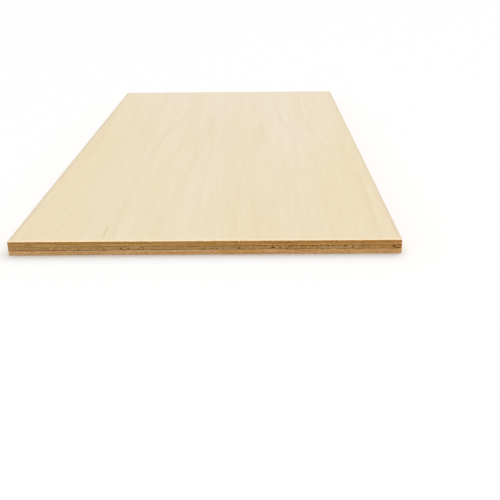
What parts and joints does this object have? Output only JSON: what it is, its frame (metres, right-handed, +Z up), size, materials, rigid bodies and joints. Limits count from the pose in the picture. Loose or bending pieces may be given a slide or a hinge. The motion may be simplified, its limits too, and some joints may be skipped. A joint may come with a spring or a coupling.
{
  "type": "plywood sheet",
  "caption": "Flat rectangular sheet of birch plywood: pale sanded face, sawn edges that show the cross-laminated veneers; stock for cutting, carving and small woodwork.",
  "frame": {"origin": "middle of the underside, where the sheet lies on the floor", "axes": "+Y along the sheet's length and face grain, +X across it, +Z up through the thickness, face veneer on top"},
  "size_m": [0.1524, 0.3048, 0.0056],
  "materials": {
    "face": "sanded, unfinished birch veneer",
    "crossband": "sawn birch veneer edge",
    "core": "sawn birch veneer edge",
    "back": "sanded, unfinished birch veneer"
  },
  "bodies": {
    "root": {"back_veneer": "back", "lower_crossband": "crossband", "core_veneer": "core", "upper_crossband": "crossband", "face_veneer": "face"}
  },
  "joints": []
}
